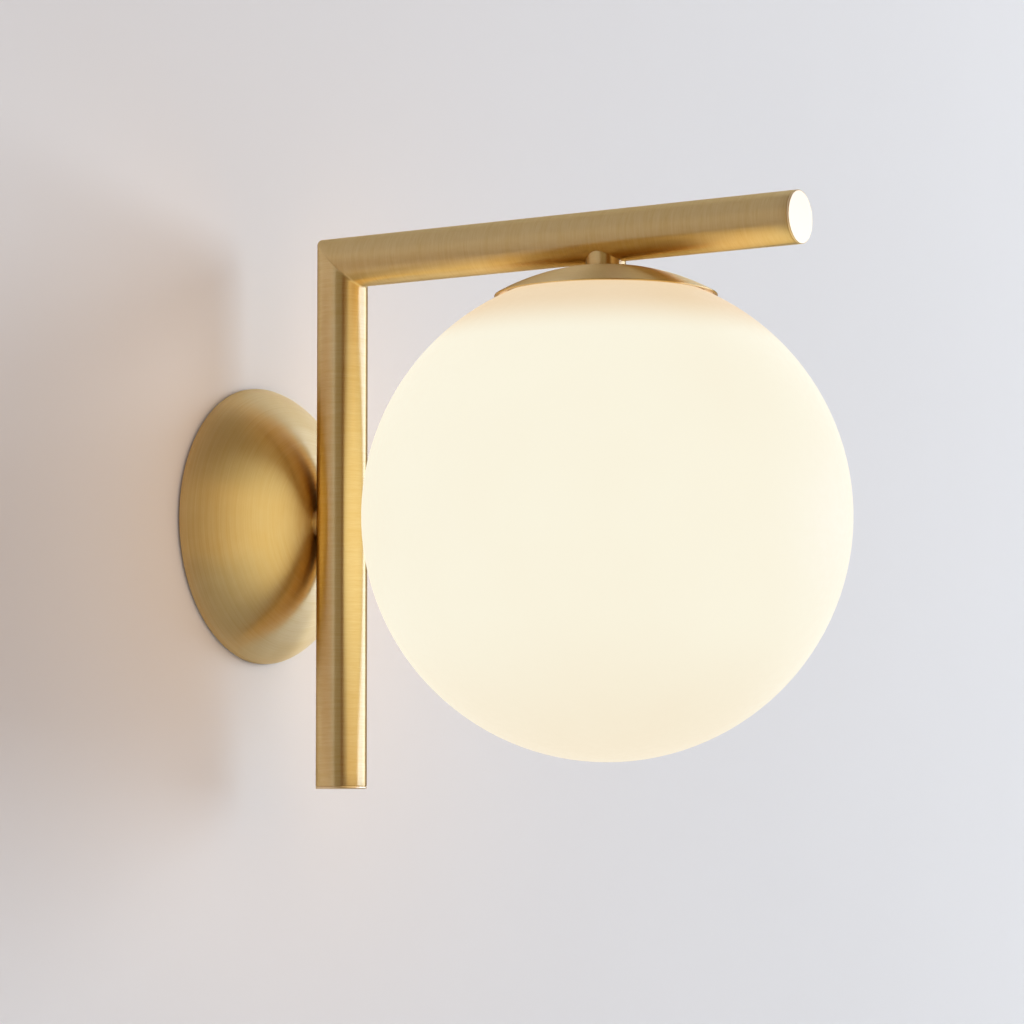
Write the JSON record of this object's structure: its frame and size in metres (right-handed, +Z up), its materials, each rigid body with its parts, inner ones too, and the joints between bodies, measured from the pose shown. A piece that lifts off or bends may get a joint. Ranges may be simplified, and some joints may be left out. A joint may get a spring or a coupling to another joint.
{
  "type": "globe wall sconce",
  "caption": "Wall lamp with a round brass rose, a mitred brass tube arm and an opal glass globe hung under a shallow brass cap.",
  "frame": {"origin": "centre of the rose's back and of the bracket's two slots, on the wall plane", "axes": "+Z up, the wall is the plane y = 0 and the lamp stands out along -Y, X is across"},
  "size_m": [0.2, 0.2717, 0.236],
  "materials": {
    "brushed_brass": "brushed, satin lacquer",
    "raw_brass": "turned",
    "zinc_steel": "zinc plated",
    "spring_steel": "rolled",
    "green_screw": "satin",
    "block_plastic": "moulded",
    "silicone": "matte",
    "opal_glass": "glossy opal",
    "socket_ceramic": "unglazed",
    "bulb_plastic": "moulded",
    "bulb_clear": "clear",
    "led_phosphor": "matte",
    "brown_wire": "satin",
    "blue_wire": "satin",
    "green_wire": "satin"
  },
  "bodies": {
    "fixture": {"mounting_bracket": "zinc_steel", "bracket_earth_screw": "green_screw", "terminal_block": "block_plastic", "terminal_barrels": "raw_brass", "terminal_screws": "zinc_steel", "terminal_block_screws": "zinc_steel", "rose": "brushed_brass", "rose_catch": "raw_brass", "rose_screw": "raw_brass", "rose_nipple": "zinc_steel", "rose_washer": "zinc_steel", "earth_tag": "raw_brass", "rose_nut": "zinc_steel", "rose_collar": "brushed_brass", "upright_bush": "raw_brass", "upright_tube": "brushed_brass", "upright_end_cap": "brushed_brass", "arm_tube": "brushed_brass", "arm_end_cap": "brushed_brass", "arm_bush": "raw_brass", "stem": "brushed_brass", "stem_nipple": "zinc_steel", "shade_cap": "brushed_brass", "globe_gasket": "silicone", "cap_washer": "zinc_steel", "cap_nut": "zinc_steel", "carrier_plate": "zinc_steel", "carrier_nut": "zinc_steel", "globe_clips": "spring_steel", "clip_rivets": "raw_brass", "holder_nut": "zinc_steel", "lampholder_cup": "zinc_steel", "lampholder_body": "socket_ceramic", "lampholder_contacts": "spring_steel", "lampholder_screws": "zinc_steel", "live_wire": "brown_wire", "neutral_wire": "blue_wire", "earth_wire": "green_wire"},
    "glass_globe": {"globe": "opal_glass"},
    "bulb": {"bulb_base": "bulb_plastic", "bulb_pins": "spring_steel", "bulb_cover": "bulb_clear", "bulb_core": "bulb_plastic", "bulb_leds": "led_phosphor"}
  },
  "joints": [
    {"name": "globe_slide", "type": "slide", "parent": "fixture", "child": "glass_globe", "axis": [0, 0, -1], "range_m": [0, 0.12], "deforming": ["globe_clips"]},
    {"name": "bulb_slide", "type": "slide", "parent": "fixture", "child": "bulb", "axis": [0, 0, -1], "range_m": [0, 0.02]}
  ]
}
